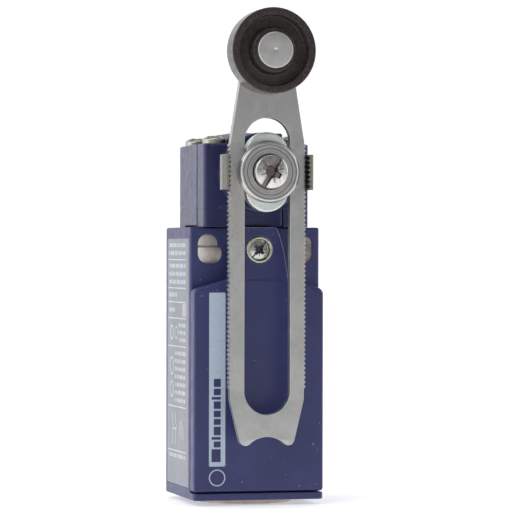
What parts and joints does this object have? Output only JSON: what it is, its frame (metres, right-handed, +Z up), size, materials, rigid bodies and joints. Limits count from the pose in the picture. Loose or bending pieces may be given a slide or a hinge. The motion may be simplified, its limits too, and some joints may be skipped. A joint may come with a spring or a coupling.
{
  "type": "limit switch",
  "caption": "Compact metal limit switch with a rotary head and a slotted, adjustable lever that carries a plastic roller.",
  "frame": {"origin": "on the back mounting face, midway between the two fixing holes", "axes": "+Z up, away from the cable entry and towards the roller; +Y out of the back mounting face; +X to the right seen from the front"},
  "size_m": [0.03, 0.0433, 0.1109],
  "materials": {
    "case_paint": "semi-gloss navy paint on a die-cast case",
    "head_paint": "semi-gloss navy paint on the die-cast head",
    "zinc_plate": "zinc-plated steel, dull and slightly mottled",
    "bright_steel": "bright turned and ground steel",
    "brass": "bare brass of the contacts and terminals",
    "ferrule": "yellow passivated turned ring",
    "bronze": "sintered bronze bush",
    "rubber": "black moulded rubber",
    "roller_plastic": "dark brown-black moulded plastic",
    "grey_plastic": "grey moulded plastic of the contact block",
    "red_plastic": "red moulded plastic of the contact plunger",
    "label_blue": "pale blue printed film",
    "label_grey": "grey printed film"
  },
  "bodies": {
    "switch_body": {"housing": "case_paint", "cover": "case_paint", "cover_gasket": "rubber", "cover_screw_ferrule": "ferrule", "cover_screw": "bright_steel", "head_lock_screw": "bright_steel", "side_label": "label_grey", "front_label": "label_blue", "head_body": "head_paint", "head_base": "head_paint", "head_gasket": "rubber", "head_screw_1": "zinc_plate", "head_screw_2": "zinc_plate", "head_screw_3": "zinc_plate", "head_screw_4": "zinc_plate", "front_bush": "bronze", "rear_bush": "bronze", "shaft_seal": "rubber", "return_spring": "bright_steel", "contact_case": "grey_plastic", "contact_lid": "grey_plastic", "contact_spring": "bright_steel", "terminal_1": "brass", "terminal_2": "brass", "terminal_3": "brass", "terminal_4": "brass", "terminal_washer_1": "zinc_plate", "terminal_washer_2": "zinc_plate", "terminal_washer_3": "zinc_plate", "terminal_washer_4": "zinc_plate", "terminal_screw_1": "zinc_plate", "terminal_screw_2": "zinc_plate", "terminal_screw_3": "zinc_plate", "terminal_screw_4": "zinc_plate", "block_screw_1": "zinc_plate", "block_screw_2": "zinc_plate", "earth_washer": "brass", "earth_screw": "zinc_plate"},
    "carrier": {"shaft": "bright_steel", "cam": "bright_steel", "shaft_clip": "bright_steel", "lever_carrier": "zinc_plate", "guide_block": "zinc_plate", "cup_washer": "zinc_plate", "spring_washer": "bright_steel", "clamp_screw": "bright_steel"},
    "lever": {"lever_plate": "zinc_plate", "roller_pin": "bright_steel", "pin_washer": "zinc_plate", "roller_bush": "bronze"},
    "roller": {"roller": "roller_plastic"},
    "pusher": {"pusher": "bright_steel"},
    "contacts": {"contact_plunger": "red_plastic", "contact_bridge_1": "brass", "contact_bridge_2": "brass"}
  },
  "joints": [
    {"name": "lever_turn", "type": "hinge", "parent": "switch_body", "child": "carrier", "pos_m": [0, -0.031, 0.01715], "axis": [0, 1, 0], "range_deg": [-70, 70], "stiffness_Nm_per_rad": 0.12},
    {"name": "lever_extension", "type": "slide", "parent": "carrier", "child": "lever", "axis": [0, 0, 1], "range_m": [-0.003, 0.044]},
    {"name": "roller_spin", "type": "hinge", "parent": "lever", "child": "roller", "pos_m": [0, -0.03925, 0.04385], "axis": [0, 1, 0], "continuous": true},
    {"name": "pusher_slide", "type": "slide", "parent": "switch_body", "child": "pusher", "axis": [0, 0, -1], "range_m": [0, 0.0015], "stiffness_N_per_m": 1200, "springref_m": -0.002, "deforming": ["return_spring"]},
    {"name": "contact_slide", "type": "slide", "parent": "switch_body", "child": "contacts", "axis": [0, 0, -1], "range_m": [0, 0.0015], "deforming": ["contact_spring"]}
  ],
  "couplings": [
    {"joint": "contact_slide", "follows": "pusher_slide", "ratio": 1}
  ]
}
